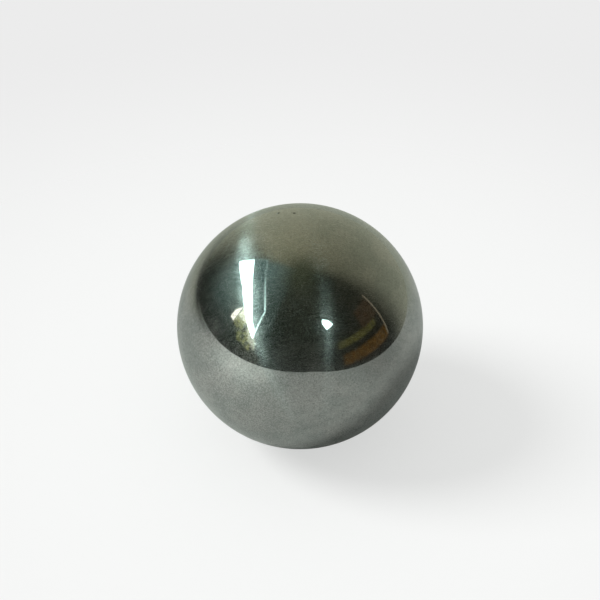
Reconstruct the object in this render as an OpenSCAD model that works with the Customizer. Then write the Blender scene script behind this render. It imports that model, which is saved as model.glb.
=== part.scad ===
// A loose steel ball: one solid piece, ground and polished to one diameter all over.
// The origin is the ball's centre, and +Z points up from the surface that it lies on.

/* [Ball] */
// Diameter of the finished ball
ball_d = 50; // [20:0.5:100]

/* [Hidden] */

// Segments round the ball in the preview; the surface itself is a true sphere
ball_segments = 180;
// Bare polished steel, a neutral grey with a slightly warm cast
polished_steel = [0.66, 0.66, 0.63];

// The ball: no seam, flat, hole or pole mark interrupts the ground surface
module ball() {
    color(polished_steel)
        sphere(d = ball_d, $fn = ball_segments);
}

ball();
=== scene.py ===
import math
import bmesh
import bpy
from mathutils import Matrix, Vector


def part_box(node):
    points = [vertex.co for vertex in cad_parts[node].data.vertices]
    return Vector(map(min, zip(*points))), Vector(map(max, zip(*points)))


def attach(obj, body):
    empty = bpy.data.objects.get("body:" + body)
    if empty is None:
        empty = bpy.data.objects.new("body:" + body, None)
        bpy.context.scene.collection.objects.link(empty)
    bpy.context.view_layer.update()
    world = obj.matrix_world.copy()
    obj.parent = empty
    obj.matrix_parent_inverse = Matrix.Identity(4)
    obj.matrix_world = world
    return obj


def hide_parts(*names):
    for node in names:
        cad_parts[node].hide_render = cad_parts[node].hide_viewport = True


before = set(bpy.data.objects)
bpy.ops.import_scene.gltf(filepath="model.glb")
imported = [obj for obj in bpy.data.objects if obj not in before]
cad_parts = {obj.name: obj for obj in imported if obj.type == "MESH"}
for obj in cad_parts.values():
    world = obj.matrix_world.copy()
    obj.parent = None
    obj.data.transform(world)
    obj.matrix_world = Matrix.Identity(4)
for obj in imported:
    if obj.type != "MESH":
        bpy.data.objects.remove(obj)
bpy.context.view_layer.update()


# ---------------------------------------------------------------- ball
# The whole object: one loose ball of hardened chrome steel, with no seam, flat, hole or pole.
# It was ground between grooved plates, lapped and tumbled to a mirror, and the last of that work left
# fine hairlines round one axis. Use has added only two pin-prick nicks.

MM = 0.001
# the frame's origin is the middle of the ball
BALL_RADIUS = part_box("ball")[1].z
NET_CELLS = 124                # squares along each edge of the cube that the ball is blown up from
NICK_WIDTH = 0.6 * MM
NICK_DEPTH = 0.15 * MM
NICK_WAYS = {"First Nick": Vector((-0.170, 0.223, 0.960)), "Last Nick": Vector((-0.045, 0.194, 0.980))}
RAGS_PER_MM = 3.5              # how fine the ragged wall of a nick is
RIM_ANGLE = math.radians(30)   # an edge that turns more than this is a nick's rim, and stays sharp
POLISH_AXIS = Vector((-0.135, 0.89, 0.43)).normalized()


def linear(hex_colour):
    """The linear RGBA of an sRGB hex colour."""
    parts = [int(hex_colour[i : i + 2], 16) / 255 for i in (1, 3, 5)]
    return [c / 12.92 if c <= 0.04045 else ((c + 0.055) / 1.055) ** 2.4 for c in parts] + [1]


def add(tree, kind, settings, *in_order, **by_name):
    """Adds a node with its settings, and sets or links its inputs, in their order or by their names."""
    node = tree.nodes.new(kind)
    for name, value in settings.items():
        setattr(node, name, value)
    shown = [socket for socket in node.inputs if socket.enabled]
    chosen = list(zip(shown, in_order))
    chosen += [(next(s for s in shown if s.name == n.replace("_", " ")), v) for n, v in by_name.items()]
    for socket, value in chosen:
        if isinstance(value, bpy.types.Node):
            value = next(s for s in value.outputs if s.enabled)
        if isinstance(value, bpy.types.NodeSocket):
            tree.links.new(value, socket)
        else:
            socket.default_value = value
    return node


def mirror_polished_steel():
    """Through-hardened chrome steel, ground, lapped and tumbled: a neutral mirror, a little darker than
    chromium plate. Its hairlines draw bright things out into streaks, and its pits add a faint haze."""
    FILM_ROUGHNESS = (0.03, 0.05)  # where the mirror is clean, and where it is filmed over
    PATCH_SIZE = 7 * MM
    LINE_PITCH = 0.001 * MM    # about as fine as the last grit, so the lines show only as streaks of light
    LINE_LENGTH = 9 * MM
    LINE_LEVEL = 0.57          # the higher, the fewer lines
    LINE_EDGE = 0.01
    LINE_ROUGHNESS = 0.34
    LINE_PULL = 0.98
    FILM_WEAR = 0.15           # the higher, the more lines where the film is thick
    SCRATCH_WEAR = 0.05        # the higher, the more lines where a scratch runs
    LEAST_WEAR = -0.1
    SCRATCH_PITCH = 0.25 * MM  # drawn coarser than the lines, so that a few can be made out
    SCRATCH_DEPTH = 0.0004 * MM
    PIT_SIZE = 0.1 * MM        # real pits are finer, and these are drawn as coarse as their haze needs
    PIT_LEVEL = 0.607          # the higher, the fewer pits
    PIT_EDGE = 0.05
    PIT_ROUGHNESS = 0.39
    SPECKLE_SIZE = 0.3 * MM    # real pitting is finer, and this is drawn as coarse as it needs to show
    SPECKLE_STRENGTH = 0.36
    GRIME_START = 0.006 * MM   # under the true sphere
    GRIME_FULL = 0.03 * MM
    GRIME_ROUGHNESS = 0.85
    steel = bpy.data.materials.new("mirror_polished_steel")
    steel.use_nodes = True
    tree = steel.node_tree
    tree.nodes.clear()
    place = add(tree, "ShaderNodeTexCoord", {}).outputs["Object"]
    out = add(tree, "ShaderNodeVectorMath", {"operation": "NORMALIZE"}, place)

    # lines follow circles round the axis of the polish, and every one fades out along its way
    tilt = add(tree, "ShaderNodeVectorMath", {"operation": "DOT_PRODUCT"}, out, POLISH_AXIS)
    turn = add(tree, "ShaderNodeMath", {"operation": "ARCCOSINE"}, tilt.outputs["Value"])
    along = add(tree, "ShaderNodeVectorMath", {"operation": "SCALE"}, place, Scale=1 / LINE_LENGTH)
    strokes = []
    for pitch in (LINE_PITCH, SCRATCH_PITCH):
        across = add(tree, "ShaderNodeMath", {"operation": "MULTIPLY"}, turn, BALL_RADIUS / pitch)
        across = add(tree, "ShaderNodeCombineXYZ", {}, across)
        drawn = add(tree, "ShaderNodeVectorMath", {"operation": "ADD"}, along, across)
        strokes.append(add(tree, "ShaderNodeTexNoise", {}, drawn, Scale=1, Detail=2, Roughness=0.6))
    fine, coarse = strokes

    # handling leaves a thin uneven film, and more lines where it is thick or a scratch runs
    patches = add(tree, "ShaderNodeTexNoise", {}, place, Scale=1 / PATCH_SIZE, Detail=3, Roughness=0.55)
    film = add(tree, "ShaderNodeMapRange", {}, patches, 0.35, 0.7, *FILM_ROUGHNESS)
    wear = add(tree, "ShaderNodeMath", {"operation": "MULTIPLY_ADD"}, patches, FILM_WEAR, LEAST_WEAR)
    wear = add(tree, "ShaderNodeMath", {"operation": "MULTIPLY_ADD"}, coarse, SCRATCH_WEAR, wear)
    worn = add(tree, "ShaderNodeMath", {"operation": "ADD"}, fine, wear)
    hairline = add(tree, "ShaderNodeMapRange", {}, worn, LINE_LEVEL, LINE_LEVEL + LINE_EDGE, 0, 1)
    pull = add(tree, "ShaderNodeMapRange", {}, worn, LINE_LEVEL - LINE_EDGE, LINE_LEVEL, 0, LINE_PULL)
    grain = add(tree, "ShaderNodeTexNoise", {}, place, Scale=1 / PIT_SIZE, Detail=1)
    pit = add(tree, "ShaderNodeMapRange", {}, grain, PIT_LEVEL, PIT_LEVEL + PIT_EDGE, 0, 1)

    # grime lies in the nicks, which are the only places under the true sphere
    height = add(tree, "ShaderNodeVectorMath", {"operation": "LENGTH"}, place).outputs["Value"]
    grime = add(tree, "ShaderNodeMapRange", {}, height,
                BALL_RADIUS - GRIME_FULL, BALL_RADIUS - GRIME_START, 1, 0)

    rough = add(tree, "ShaderNodeMix", {"data_type": "FLOAT"}, pit, film, PIT_ROUGHNESS)
    rough = add(tree, "ShaderNodeMix", {"data_type": "FLOAT"}, hairline, rough, LINE_ROUGHNESS)
    rough = add(tree, "ShaderNodeMix", {"data_type": "FLOAT"}, grime, rough, GRIME_ROUGHNESS)
    clouds = add(tree, "ShaderNodeMapRange", {"interpolation_type": "SMOOTHSTEP"}, patches, 0.35, 0.65, 0, 1)
    tint = add(tree, "ShaderNodeMix", {"data_type": "RGBA"}, clouds, linear("#AAACA8"), linear("#B9B8B4"))
    # the finest pitting shows as a speckle, a shade lighter and darker
    speckle = add(tree, "ShaderNodeTexNoise", {}, place, Scale=1 / SPECKLE_SIZE, Detail=3, Roughness=0.8)
    shade = add(tree, "ShaderNodeMapRange", {}, speckle,
                0.34, 0.66, 1 - SPECKLE_STRENGTH, 1 + SPECKLE_STRENGTH)
    tint = add(tree, "ShaderNodeVectorMath", {"operation": "SCALE"}, tint, Scale=shade)
    colour = add(tree, "ShaderNodeMix", {"data_type": "RGBA"}, grime, tint, linear("#12110E"))
    bump = add(tree, "ShaderNodeBump", {}, Strength=1, Distance=SCRATCH_DEPTH, Height=coarse)
    axis = add(tree, "ShaderNodeVectorTransform",
               {"vector_type": "VECTOR", "convert_from": "OBJECT", "convert_to": "WORLD"}, POLISH_AXIS)
    finish = add(tree, "ShaderNodeBsdfPrincipled", {}, Base_Color=colour, Metallic=1, Roughness=rough,
                 Anisotropic=pull, Tangent=axis, Normal=bump)
    add(tree, "ShaderNodeOutputMaterial", {}, finish)
    return steel


def ball_tree():
    """Blows a net of even squares up to the true sphere and presses a nick at each end of a line."""
    tree = bpy.data.node_groups.new("ground_ball", "GeometryNodeTree")
    tree.interface.new_socket("Ball", in_out="OUTPUT", socket_type="NodeSocketGeometry")
    kinds = {"Radius": "Float", "Cells": "Int", "Burr Radius": "Float", "Burr Height": "Float",
             "First Nick": "Vector", "Last Nick": "Vector", "Steel": "Material"}
    for name, kind in kinds.items():
        tree.interface.new_socket(name, in_out="INPUT", socket_type="NodeSocket" + kind)
    given = add(tree, "NodeGroupInput", {}).outputs

    corners = add(tree, "ShaderNodeMath", {"operation": "ADD"}, given["Cells"], 1)
    cube = add(tree, "GeometryNodeMeshCube", {}, (2, 2, 2), corners, corners, corners)
    mapped = add(tree, "GeometryNodeStoreNamedAttribute", {"data_type": "FLOAT2", "domain": "CORNER"},
                 cube, Name="OFBake", Value=cube.outputs["UV Map"])
    # the tangent keeps the squares near one size from the middle of a side to its corners
    quarter = add(tree, "ShaderNodeVectorMath", {"operation": "SCALE"},
                  add(tree, "GeometryNodeInputPosition", {}), Scale=math.pi / 4)
    evened = add(tree, "ShaderNodeVectorMath", {"operation": "TANGENT"}, quarter)
    way = add(tree, "ShaderNodeVectorMath", {"operation": "NORMALIZE"}, evened)
    blown = add(tree, "ShaderNodeVectorMath", {"operation": "SCALE"}, way, Scale=given["Radius"])
    round_net = add(tree, "GeometryNodeSetPosition", {}, mapped, Position=blown)

    # a burr is a ragged ball that just dips into the surface, and the line's offset is its far end
    ends = [add(tree, "ShaderNodeVectorMath", {"operation": "SCALE"}, given[name], Scale=given["Burr Height"])
            for name in NICK_WAYS]
    line = add(tree, "GeometryNodeMeshLine", {"mode": "END_POINTS"}, Count=2)
    tree.links.new(ends[0].outputs[0], line.inputs["Start Location"])
    tree.links.new(ends[1].outputs[0], line.inputs["Offset"])
    burr = add(tree, "GeometryNodeMeshIcoSphere", {}, given["Burr Radius"], 3)
    burrs = add(tree, "GeometryNodeRealizeInstances", {},
                add(tree, "GeometryNodeInstanceOnPoints", {}, line, Instance=burr))
    ragged = add(tree, "ShaderNodeTexNoise", {}, Scale=RAGS_PER_MM / MM, Detail=1).outputs["Color"]
    offset = add(tree, "ShaderNodeVectorMath", {"operation": "SUBTRACT"}, ragged, (0.5, 0.5, 0.5))
    offset = add(tree, "ShaderNodeVectorMath", {"operation": "MULTIPLY"}, offset, given["Burr Radius"])
    burrs = add(tree, "GeometryNodeSetPosition", {}, burrs, Offset=offset)
    nicked = add(tree, "GeometryNodeMeshBoolean", {"operation": "DIFFERENCE", "solver": "MANIFOLD"},
                 round_net, burrs)

    angle = add(tree, "GeometryNodeInputMeshEdgeAngle", {})
    rim = add(tree, "ShaderNodeMath", {"operation": "GREATER_THAN"}, angle, RIM_ANGLE)
    smooth = add(tree, "GeometryNodeSetShadeSmooth", {"domain": "FACE"}, nicked, Shade_Smooth=True)
    edged = add(tree, "GeometryNodeSetShadeSmooth", {"domain": "EDGE"}, smooth, rim, Shade_Smooth=False)
    whole = add(tree, "GeometryNodeRealizeInstances", {}, edged)
    finished = add(tree, "GeometryNodeSetMaterial", {}, whole, Material=given["Steel"])
    add(tree, "NodeGroupOutput", {}, finished)
    return tree


def built(name, tree, inputs):
    """The plain mesh object that a Geometry Nodes tree makes from its named inputs."""
    seed = bpy.data.objects.new(name + "_seed", bpy.data.meshes.new(name))
    bpy.context.scene.collection.objects.link(seed)
    grown = seed.modifiers.new(name, "NODES")
    grown.node_group = tree
    for item in tree.interface.items_tree:
        if item.in_out == "INPUT":
            grown[item.identifier] = inputs[item.name]
    evaluated = seed.evaluated_get(bpy.context.evaluated_depsgraph_get())
    mesh = bpy.data.meshes.new_from_object(evaluated)
    bpy.data.objects.remove(seed)
    piece = bpy.data.objects.new(name, mesh)
    bpy.context.scene.collection.objects.link(piece)
    return piece


burr_radius = ((NICK_WIDTH / 2) ** 2 + NICK_DEPTH**2) / (2 * NICK_DEPTH)
ball = built("polished_ball", ball_tree(), {
    "Radius": BALL_RADIUS, "Cells": NET_CELLS,
    "Burr Radius": burr_radius, "Burr Height": BALL_RADIUS + burr_radius - NICK_DEPTH,
    **NICK_WAYS, "Steel": mirror_polished_steel(),
})
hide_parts("ball")
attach(ball, "root")


# ---------------------------------------------------------------- floor
# The pale sheet of matt paper that the ball lies on, laid flat and so wide that its edge is never seen.
# It fades into the background round the ball and is clear from below, so that the underside shows too.

FLOOR_REACH = 1.5
FADE_START = 0.03              # both from the middle of the ball
FADE_END = 0.2
GLOW_SHARE = 0.6               # the share of the paper's light that is its own, which keeps the shadow pale
PAPER_COLOUR = linear("#F9FAF9")

floor_mesh = bpy.data.meshes.new("floor")
sheet = bmesh.new()
bmesh.ops.create_circle(sheet, cap_ends=True, radius=FLOOR_REACH, segments=96,
                        matrix=Matrix.Translation((0, 0, -BALL_RADIUS)))
sheet.to_mesh(floor_mesh)
sheet.free()
floor = bpy.data.objects.new("floor", floor_mesh)
bpy.context.scene.collection.objects.link(floor)
floor.visible_glossy = False

matt_paper = bpy.data.materials.new("matt_paper")
matt_paper.use_nodes = True
paper_tree = matt_paper.node_tree
paper_tree.nodes.clear()
spot = add(paper_tree, "ShaderNodeTexCoord", {}).outputs["Object"]
distance = add(paper_tree, "ShaderNodeVectorMath", {"operation": "LENGTH"}, spot).outputs["Value"]
faded = add(paper_tree, "ShaderNodeMapRange", {"interpolation_type": "SMOOTHSTEP"},
            distance, FADE_START, FADE_END, 0, 1)
below = add(paper_tree, "ShaderNodeNewGeometry", {}).outputs["Backfacing"]
clear = add(paper_tree, "ShaderNodeMath", {"operation": "MAXIMUM"}, faded, below)
paper = add(paper_tree, "ShaderNodeBsdfDiffuse", {}, PAPER_COLOUR)
glow = add(paper_tree, "ShaderNodeEmission", {}, PAPER_COLOUR, 1)
paper = add(paper_tree, "ShaderNodeMixShader", {}, GLOW_SHARE, paper, glow)
nothing = add(paper_tree, "ShaderNodeBsdfTransparent", {})
shown = add(paper_tree, "ShaderNodeMixShader", {}, clear, paper, nothing)
add(paper_tree, "ShaderNodeOutputMaterial", {}, shown)
floor_mesh.materials.append(matt_paper)


# ---------------------------------------------------------------- bench card
# A mirror shows only what stands round it, so cards that show in reflections alone are put up round the
# ball. The lowest is a sheet of grey laminate, laid in the plane of the floor, which the ball's lower
# half shows, with painted light and painted shade on it.

BENCH_REACH = 2                # to the left, the front and the back
BENCH_EDGE = 0.18              # to the right
BENCH_LEVEL = 1.1              # the gain on its colour, before the wedges add theirs
# wedges of painted light and painted shade, with a pool of light toward the front left and shade to the
# right of the ball and far to the left: azimuth of the middle and half the width in degrees, the
# distances from the ball's middle at which a wedge starts and is full, and how much it adds
BENCH_LIGHT_AND_SHADE_WEDGES = ((-80, 64, 0, 0.03, 0.21), (95, 85, 0.08, 0.02, -0.2), (28, 30, 0.05, 0.028, -0.28),
                (-48, 40, 0.035, 0.17, 1.5), (-118, 50, 0.08, 0.45, -1.1), (70, 38, 0.04, 0.1, -0.35))


def reflected(name, data, material):
    """Puts up a card that only mirrors see."""
    data.materials.append(material)
    card = bpy.data.objects.new(name, data)
    bpy.context.scene.collection.objects.link(card)
    card.visible_camera = False
    card.visible_diffuse = False
    card.visible_shadow = False
    card.visible_transmission = False


def banner(name, lower, upper):
    """A mesh that spans two edges, given as rows of as many points each."""
    mesh = bpy.data.meshes.new(name)
    faces = [(i, i + 1, len(lower) + i + 1, len(lower) + i) for i in range(len(lower) - 1)]
    mesh.from_pydata(lower + upper, [], faces)
    return mesh


def bench_grey_painted_light():
    """Matt grey laminate, faintly mottled, with painted light brightest toward the front left, painted shade
    to the right of the ball and far to the left, and a little warm behind the ball.
    """
    MOTTLE_SIZE = 6 * MM
    WARM_FADE = (0.03, 0.12)   # where it starts and is full, behind the ball's middle
    WARMTH = (1, 1, 0.88, 1)
    material = bpy.data.materials.new("bench_grey_painted_light")
    material.use_nodes = True
    tree = material.node_tree
    tree.nodes.clear()
    place = add(tree, "ShaderNodeTexCoord", {}).outputs["Object"]
    mottle = add(tree, "ShaderNodeTexNoise", {}, place, Scale=1 / MOTTLE_SIZE, Detail=4, Roughness=0.7)
    colour = add(tree, "ShaderNodeMix", {"data_type": "RGBA"}, mottle, linear("#8B918D"), linear("#C3C9C4"))

    distance = add(tree, "ShaderNodeVectorMath", {"operation": "LENGTH"}, place).outputs["Value"]
    split = add(tree, "ShaderNodeSeparateXYZ", {}, place).outputs
    forward = add(tree, "ShaderNodeMath", {"operation": "MULTIPLY"}, split["Y"], -1)
    azimuth = add(tree, "ShaderNodeMath", {"operation": "ARCTAN2"}, split["X"], forward)
    level = BENCH_LEVEL
    # each wedge adds painted light where its gain is positive and painted shade where it is negative
    for middle, half_width, start, end, gain in BENCH_LIGHT_AND_SHADE_WEDGES:
        off = add(tree, "ShaderNodeMath", {"operation": "SUBTRACT"}, azimuth, math.radians(middle))
        off = add(tree, "ShaderNodeMath", {"operation": "ABSOLUTE"}, off)
        wedge = add(tree, "ShaderNodeMapRange", {"interpolation_type": "SMOOTHSTEP"},
                    off, 0, math.radians(half_width), gain, 0)
        reach = add(tree, "ShaderNodeMapRange", {"interpolation_type": "SMOOTHSTEP"},
                    distance, start, end, 0, 1)
        level = add(tree, "ShaderNodeMath", {"operation": "MULTIPLY_ADD"}, wedge, reach, level)
    behind = add(tree, "ShaderNodeMapRange", {"interpolation_type": "SMOOTHSTEP"},
                 split["Y"], *WARM_FADE, 0, 1)
    warm = add(tree, "ShaderNodeMix", {"data_type": "RGBA"}, behind, (1, 1, 1, 1), WARMTH)
    colour = add(tree, "ShaderNodeVectorMath", {"operation": "MULTIPLY"}, colour, warm)
    lit = add(tree, "ShaderNodeVectorMath", {"operation": "SCALE"}, colour, Scale=level)
    add(tree, "ShaderNodeOutputMaterial", {}, add(tree, "ShaderNodeBsdfDiffuse", {}, lit))
    return material


bench_front = [(x, -BENCH_REACH, -BALL_RADIUS) for x in (-BENCH_REACH, BENCH_EDGE)]
bench_back = [(x, BENCH_REACH, -BALL_RADIUS) for x in (-BENCH_REACH, BENCH_EDGE)]
reflected("bench_card", banner("bench_card", bench_front, bench_back), bench_grey_painted_light())


# ---------------------------------------------------------------- tent
# A round tent of thin cloth all about the bench, which glows though it is no lamp: pale with painted light
# behind the ball and dark with painted shade in front of it, with a dull olive roof. Three shelves of
# stained wood glow dimly through its dark side.

TENT_REACH = 0.9
# the tent's azimuths are taken from about the middle of its pale side, and pairs are where a fade
# starts and ends
WALL_AZIMUTH = math.radians(150)
LEFT_FADE = (math.radians(46), math.radians(84))
LEFT_CURVE = -0.35             # how far the pale side's left edge curves outward as it rises
RIGHT_RISE = (math.radians(-77), math.radians(19))
RIGHT_FADE = (math.radians(-66), math.radians(-34))
RIGHT_LEAN = 0.2               # how far its right edge slants outward as it rises
RIGHT_BEND = 0.33              # the power by which it brightens, and what each radian of height adds
FULL_RISE = math.radians(65)   # the height at which the sides have their upper colour
SHADE_STRIP_AZIMUTH = math.radians(-82)
SHADE_STRIP_FADE = (math.radians(12), math.radians(48))
SHADE_STRIP_LEVEL = 0.4
GAIN_FADE = (math.radians(10), math.radians(50))
GAIN_LEVEL = 1.22
SPILL_AZIMUTH = math.radians(112)
SPILL_ONSET = (math.radians(-34), math.radians(-8))
SPILL_FALL = (math.radians(8), math.radians(105))
SPILL_HEIGHT = (math.radians(2), math.radians(48))
ROOF_FADE = (math.radians(62), math.radians(90))
SHELF_MOTTLE = 45 * MM
SHELF_LEVELS = (0.45, 1.55)    # the gain on a shelf's colour where its mottle is darkest and lightest
SHELF_BLUR_ACROSS = 2          # degrees on either side of its edge
SHELF_BLUR_UP = 1.5
# azimuth of the middle, half the width, height of the middle and half of the height in degrees, colour
SHELVES = ((-89, 23, 2, 5, "#5E4318"), (-94, 21, 16, 3, "#5C5A2E"), (-77, 10, 26, 8, "#3E2F20"))


def tent_cloth_painted_light():
    """Cloth that glows: painted light behind the ball, painted shade in front of it and a dull olive roof."""
    material = bpy.data.materials.new("tent_cloth_painted_light")
    material.use_nodes = True
    tree = material.node_tree
    tree.nodes.clear()
    place = add(tree, "ShaderNodeTexCoord", {}).outputs["Object"]
    turned = add(tree, "ShaderNodeMapping", {"vector_type": "POINT"}, place, Rotation=(0, 0, -WALL_AZIMUTH))
    way = add(tree, "ShaderNodeVectorMath", {"operation": "NORMALIZE"}, turned)
    split = add(tree, "ShaderNodeSeparateXYZ", {}, way).outputs
    back = add(tree, "ShaderNodeMath", {"operation": "MULTIPLY"}, split["Y"], -1)
    azimuth = add(tree, "ShaderNodeMath", {"operation": "ARCTAN2"}, split["X"], back)
    elevation = add(tree, "ShaderNodeMath", {"operation": "ARCSINE"}, split["Z"])

    # the pale side ends softly, in a curve at its left and a slant at its right
    curve = add(tree, "ShaderNodeMath", {"operation": "MULTIPLY"}, elevation, elevation)
    lean = add(tree, "ShaderNodeMath", {"operation": "MULTIPLY_ADD"}, curve, LEFT_CURVE, azimuth)
    left = add(tree, "ShaderNodeMapRange", {"interpolation_type": "SMOOTHSTEP"},
               lean, *LEFT_FADE, 1, 0)
    bend = add(tree, "ShaderNodeMath", {"operation": "MULTIPLY_ADD"}, elevation, RIGHT_BEND, RIGHT_BEND)
    right = add(tree, "ShaderNodeMapRange", {}, azimuth, *RIGHT_RISE, 0, 1)
    right = add(tree, "ShaderNodeMath", {"operation": "POWER"}, right, bend)
    lean = add(tree, "ShaderNodeMath", {"operation": "MULTIPLY_ADD"}, elevation, RIGHT_LEAN, azimuth)
    edge = add(tree, "ShaderNodeMapRange", {"interpolation_type": "SMOOTHSTEP"},
               lean, *RIGHT_FADE, 0, 1)
    right = add(tree, "ShaderNodeMath", {"operation": "MULTIPLY"}, right, edge)
    lit = add(tree, "ShaderNodeMath", {"operation": "MULTIPLY"}, right, left)
    rise = add(tree, "ShaderNodeMapRange", {}, elevation, 0, FULL_RISE, 0, 1)

    # painted shade: the dark side is darkest in a strip beside the slant
    dark = add(tree, "ShaderNodeMix", {"data_type": "RGBA"}, rise, linear("#262A24"), linear("#3A3E33"))
    off = add(tree, "ShaderNodeMath", {"operation": "SUBTRACT"}, azimuth, SHADE_STRIP_AZIMUTH)
    off = add(tree, "ShaderNodeMath", {"operation": "ABSOLUTE"}, off)
    shade = add(tree, "ShaderNodeMapRange", {"interpolation_type": "SMOOTHSTEP"},
                off, *SHADE_STRIP_FADE, SHADE_STRIP_LEVEL, 1)
    dark = add(tree, "ShaderNodeVectorMath", {"operation": "SCALE"}, dark, Scale=shade)

    # painted light: the pale side is a little brighter toward the softbox
    pale = add(tree, "ShaderNodeMix", {"data_type": "RGBA"}, rise, linear("#B3B7A3"), linear("#9A9A81"))
    gain = add(tree, "ShaderNodeMapRange", {"interpolation_type": "SMOOTHSTEP"},
               azimuth, *GAIN_FADE, 1, GAIN_LEVEL)
    pale = add(tree, "ShaderNodeVectorMath", {"operation": "SCALE"}, pale, Scale=gain)
    sides = add(tree, "ShaderNodeMix", {"data_type": "RGBA"}, lit, dark, pale)

    # light from the softbox spills over the cloth behind it
    off = add(tree, "ShaderNodeMath", {"operation": "SUBTRACT"}, azimuth, SPILL_AZIMUTH)
    onset = add(tree, "ShaderNodeMapRange", {"interpolation_type": "SMOOTHSTEP"},
                off, *SPILL_ONSET, 0, 1)
    fall = add(tree, "ShaderNodeMapRange", {}, off, *SPILL_FALL, 1, 0)
    fall = add(tree, "ShaderNodeMath", {"operation": "POWER"}, fall, 2)
    spill = add(tree, "ShaderNodeMath", {"operation": "MULTIPLY"}, onset, fall)
    under = add(tree, "ShaderNodeMapRange", {"interpolation_type": "SMOOTHSTEP"},
                elevation, *SPILL_HEIGHT, 0, 1)
    spill = add(tree, "ShaderNodeMath", {"operation": "MULTIPLY"}, spill, under)
    sides = add(tree, "ShaderNodeMix", {"data_type": "RGBA"}, spill, sides, linear("#7E9A96"))

    # each shelf is a soft-edged patch, mottled lighter and darker
    mottle = add(tree, "ShaderNodeTexNoise", {}, place, Scale=1 / SHELF_MOTTLE, Detail=4, Roughness=0.7)
    mottle = add(tree, "ShaderNodeMapRange", {}, mottle, 0.35, 0.65, *SHELF_LEVELS)
    for middle, half_width, height, half_height, stain in SHELVES:
        extents = []
        for angle, centre, half, blur in ((azimuth, middle, half_width, SHELF_BLUR_ACROSS),
                                          (elevation, height, half_height, SHELF_BLUR_UP)):
            off = add(tree, "ShaderNodeMath", {"operation": "SUBTRACT"}, angle, math.radians(centre))
            off = add(tree, "ShaderNodeMath", {"operation": "ABSOLUTE"}, off)
            extents.append(add(tree, "ShaderNodeMapRange", {"interpolation_type": "SMOOTHSTEP"},
                               off, math.radians(half - blur), math.radians(half + blur), 1, 0))
        shelf = add(tree, "ShaderNodeMath", {"operation": "MULTIPLY"}, *extents)
        wood = add(tree, "ShaderNodeVectorMath", {"operation": "SCALE"}, linear(stain)[:3], Scale=mottle)
        sides = add(tree, "ShaderNodeMix", {"data_type": "RGBA"}, shelf, sides, wood)

    top = add(tree, "ShaderNodeMapRange", {"interpolation_type": "SMOOTHSTEP"},
              elevation, *ROOF_FADE, 0, 1)
    colour = add(tree, "ShaderNodeMix", {"data_type": "RGBA"}, top, sides, linear("#4A513D"))
    add(tree, "ShaderNodeOutputMaterial", {}, add(tree, "ShaderNodeEmission", {}, colour, 1))
    return material


tent_mesh = bpy.data.meshes.new("tent")
tent_shell = bmesh.new()
bmesh.ops.create_icosphere(tent_shell, subdivisions=4, radius=TENT_REACH)
tent_shell.to_mesh(tent_mesh)
tent_shell.free()
reflected("tent", tent_mesh, tent_cloth_painted_light())


# ---------------------------------------------------------------- softbox
# A long softbox of white cloth bends round the left side, with a dim skirt sewn along its upper edge and
# white piping round that. Below and just behind it hang a cream flap, a fringe and a leafy cloth.

CARD_DISTANCE = 0.6            # all three from the middle of the ball
FRINGE_DISTANCE = 0.61
LEAFY_DISTANCE = 0.62
NEAR_Y = -0.4                  # in front of the ball, where a card has its near level
PIPING_RADIUS = 0.008
SOFTBOX_WHITE = "#DAFFFA"
# azimuth, then foot, waist and head above level, in degrees
SOFTBOX_HANG = ((-121, 37, 50, 61), (-105, 41, 52, 63), (-90, 42, 51, 62), (-75, 38.5, 47.5, 60),
                (-62, 31.5, 41, 56), (-53, 25.5, 32, 51), (-45, 19, 25, 44))
# azimuth, then foot and head
FLAP_HANG = ((-74.8, 21.6, 28.2), (-69.6, 21.1, 35.2))
FRINGE_HANG = ((-68.6, 27, 36.2), (-65.3, 26.9, 34.5), (-61, 26.8, 32.5), (-56, 26.5, 28.5),
               (-52, 21.5, 26.5), (-49.8, 18.1, 24), (-47.5, 14.8, 21.5), (-43.7, 11, 19.5), (-41, 9.5, 17))
LEAFY_HANG = ((-69.3, 21.1, 28), (-65.5, 19, 28), (-61.7, 14.2, 28), (-59.1, 10.3, 27), (-54.7, 10.1, 25.5),
              (-50.1, 9, 20), (-45.7, 7.5, 15))


def toward(azimuth, elevation, distance):
    """The point that far from the ball, azimuth degrees right of the camera and that high above level."""
    a, e = math.radians(azimuth), math.radians(elevation)
    way = Vector((math.sin(a) * math.cos(e), -math.cos(a) * math.cos(e), math.sin(e)))
    return way * distance


def hung(name, hang, distance, material):
    """Hangs up a card that is given by rows of azimuth, foot and head."""
    foot = [toward(azimuth, low, distance) for azimuth, low, _ in hang]
    head = [toward(azimuth, high, distance) for azimuth, _, high in hang]
    reflected(name, banner(name, foot, head), material)


def rod(name, points, radius):
    """A round bar along a row of points."""
    bar = bpy.data.curves.new(name, "CURVE")
    bar.dimensions = "3D"
    bar.bevel_depth = radius
    route = bar.splines.new("POLY")
    route.points.add(len(points) - 1)
    for point, corner in zip(route.points, points):
        point.co = (*corner, 1)
    return bar


def glowing(name, colour, level, near_level):
    """Cloth, glass or paint that glows in one plain tone, at one level beside and behind
    the ball and another in front of it. Where it is no lamp, as on the post, the glow is painted light."""
    material = bpy.data.materials.new(name)
    material.use_nodes = True
    tree = material.node_tree
    tree.nodes.clear()
    place = add(tree, "ShaderNodeTexCoord", {}).outputs["Object"]
    depth = add(tree, "ShaderNodeSeparateXYZ", {}, place).outputs["Y"]
    strength = add(tree, "ShaderNodeMapRange", {}, depth, 0, NEAR_Y, level, near_level)
    add(tree, "ShaderNodeOutputMaterial", {}, add(tree, "ShaderNodeEmission", {}, linear(colour), strength))
    return material


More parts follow.
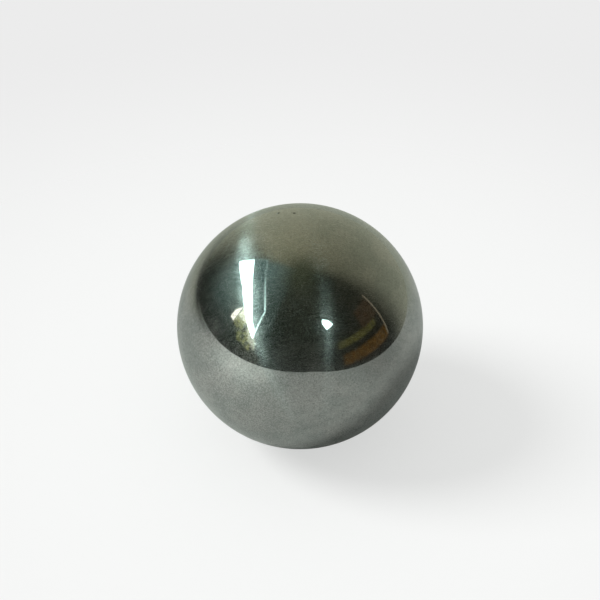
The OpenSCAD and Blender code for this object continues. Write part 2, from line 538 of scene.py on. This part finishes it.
def leaf_print():
    """Thin cotton with light behind it, printed all over in blotches of dark and yellow green."""
    LEAF_SIZE = 60 * MM
    material = bpy.data.materials.new("leafy_cloth")
    material.use_nodes = True
    tree = material.node_tree
    tree.nodes.clear()
    place = add(tree, "ShaderNodeTexCoord", {}).outputs["Object"]
    blotch = add(tree, "ShaderNodeTexNoise", {}, place, Scale=1 / LEAF_SIZE, Detail=3, Roughness=0.6)
    share = add(tree, "ShaderNodeMapRange", {}, blotch, 0.42, 0.6, 0, 1)
    colour = add(tree, "ShaderNodeMix", {"data_type": "RGBA"}, share, linear("#132B18"), linear("#E2E69C"))
    add(tree, "ShaderNodeOutputMaterial", {}, add(tree, "ShaderNodeEmission", {}, colour, 1))
    return material


feet = [toward(azimuth, foot, CARD_DISTANCE) for azimuth, foot, _, _ in SOFTBOX_HANG]
waists = [toward(azimuth, waist, CARD_DISTANCE) for azimuth, _, waist, _ in SOFTBOX_HANG]
heads = [toward(azimuth, head, CARD_DISTANCE) for azimuth, _, _, head in SOFTBOX_HANG]
reflected("softbox", banner("softbox", feet, waists), glowing("softbox_white", SOFTBOX_WHITE, 12, 13.5))
skirt = banner("softbox_skirt", waists, heads)
reflected("softbox_skirt", skirt, glowing("softbox_dim_edge", "#8EB4B0", 0.5, 0.37))
piping = rod("softbox_piping", [waists[0], *heads, waists[-1]], PIPING_RADIUS)
reflected("softbox_piping", piping, glowing("piping_white", SOFTBOX_WHITE, 0.6, 3.6))
hung("flap", FLAP_HANG, FRINGE_DISTANCE, glowing("flap_cream", "#FFFCEE", 3.2, 3.2))
hung("fringe", FRINGE_HANG, FRINGE_DISTANCE, glowing("fringe_cream", "#F7F9DF", 4, 1))
hung("leafy_cloth", LEAFY_HANG, LEAFY_DISTANCE, leaf_print())


# ---------------------------------------------------------------- lamp and post
# A small bright lamp with a white glass stands to the right of the camera. Beside the shelves stands a
# slim round post in cream paint that glows though it is no lamp, a painted highlight that shows in the ball
# as one thin pale line.

# the lamp's near and far edge: azimuth and height above level, in degrees
LAMP_EDGES = (((25.4, 39.3), (26.8, 36.3), (28.3, 33)), ((26.6, 42.4), (32.2, 40), (36.2, 35.6)))
POST_AZIMUTH = 84.2
POST_HEIGHTS = (-1, 36)        # of its foot and top above level, in degrees
POST_RADIUS = 0.007

lamp_near, lamp_far = ([toward(*corner, CARD_DISTANCE) for corner in edge] for edge in LAMP_EDGES)
lamp = banner("lamp_card", lamp_near, lamp_far)
reflected("lamp_card", lamp, glowing("lamp_white", SOFTBOX_WHITE, 15, 15))
post = rod("post", [toward(POST_AZIMUTH, height, CARD_DISTANCE) for height in POST_HEIGHTS], POST_RADIUS)
reflected("post", post, glowing("post_cream_painted_highlight", "#FFEFD0", 0.3, 0.3))


# ---------------------------------------------------------------- light
# Even light from all round and one broad soft lamp from the left, which together light a surface
# at the level where its colour renders as written.

AMBIENT_LEVEL = 0.52
KEY_LEVEL = 0.48
KEY_AZIMUTH = -92
KEY_ELEVATION = 43
KEY_SPREAD = 25                # degrees across, which sets how soft the shadow's edge is

world = bpy.data.worlds.new("studio")
bpy.context.scene.world = world
world.use_nodes = True
sky = world.node_tree
sky.nodes.clear()
ray = add(sky, "ShaderNodeLightPath", {}).outputs
seen = add(sky, "ShaderNodeMath", {"operation": "MAXIMUM"}, ray["Is Camera Ray"], ray["Is Glossy Ray"])
seen = add(sky, "ShaderNodeMath", {"operation": "MAXIMUM"}, seen, ray["Is Transmission Ray"])
around = add(sky, "ShaderNodeBackground", {}, (1, 1, 1, 1), AMBIENT_LEVEL)
backdrop = add(sky, "ShaderNodeBackground", {}, linear("#ECECEC"), 1)
add(sky, "ShaderNodeOutputWorld", {}, add(sky, "ShaderNodeMixShader", {}, seen, around, backdrop))

key_light = bpy.data.lights.new("key", "SUN")
key_light.energy = KEY_LEVEL * math.pi / math.sin(math.radians(KEY_ELEVATION))
key_light.angle = math.radians(KEY_SPREAD)
key = bpy.data.objects.new("key", key_light)
bpy.context.scene.collection.objects.link(key)
key.rotation_euler = toward(KEY_AZIMUTH, KEY_ELEVATION, 1).to_track_quat("Z", "Y").to_euler()
key.visible_glossy = False


# ---------------------------------------------------------------- camera
# Close above the bench, 40 degrees down on the ball, and framed so that the ball's outline
# has its own place and size in the square picture.

PICTURE_SIDE = 600             # pixels, as the two values below are
OUTLINE_CENTRE = (300.05, 326.18)
OUTLINE_RADIUS = 123.0
CAMERA_ELEVATION = 40
CAMERA_DISTANCE = 0.23

tangent_length = math.sqrt(CAMERA_DISTANCE**2 - BALL_RADIUS**2)
focal_pixels = OUTLINE_RADIUS * tangent_length / BALL_RADIUS
# off the axis of the lens, the middle of a ball's outline lies a little further out than its centre
stretch = 1 + (BALL_RADIUS / tangent_length) ** 2
camera_data = bpy.data.cameras.new("camera")
camera_data.lens = camera_data.sensor_width * focal_pixels / PICTURE_SIDE
camera_data.clip_start = 0.01
camera = bpy.data.objects.new("camera", camera_data)
bpy.context.scene.collection.objects.link(camera)
camera.location = toward(0, CAMERA_ELEVATION, CAMERA_DISTANCE)
view_up = toward(180, 90 - CAMERA_ELEVATION, 1)
pixel_size = CAMERA_DISTANCE / (focal_pixels * stretch)
aim = view_up * (OUTLINE_CENTRE[1] - PICTURE_SIDE / 2) * pixel_size
aim += Vector((1, 0, 0)) * (PICTURE_SIDE / 2 - OUTLINE_CENTRE[0]) * pixel_size
camera.rotation_euler = (aim - camera.location).to_track_quat("-Z", "Y").to_euler()
bpy.context.scene.camera = camera
bpy.context.scene.view_settings.view_transform = "Standard"
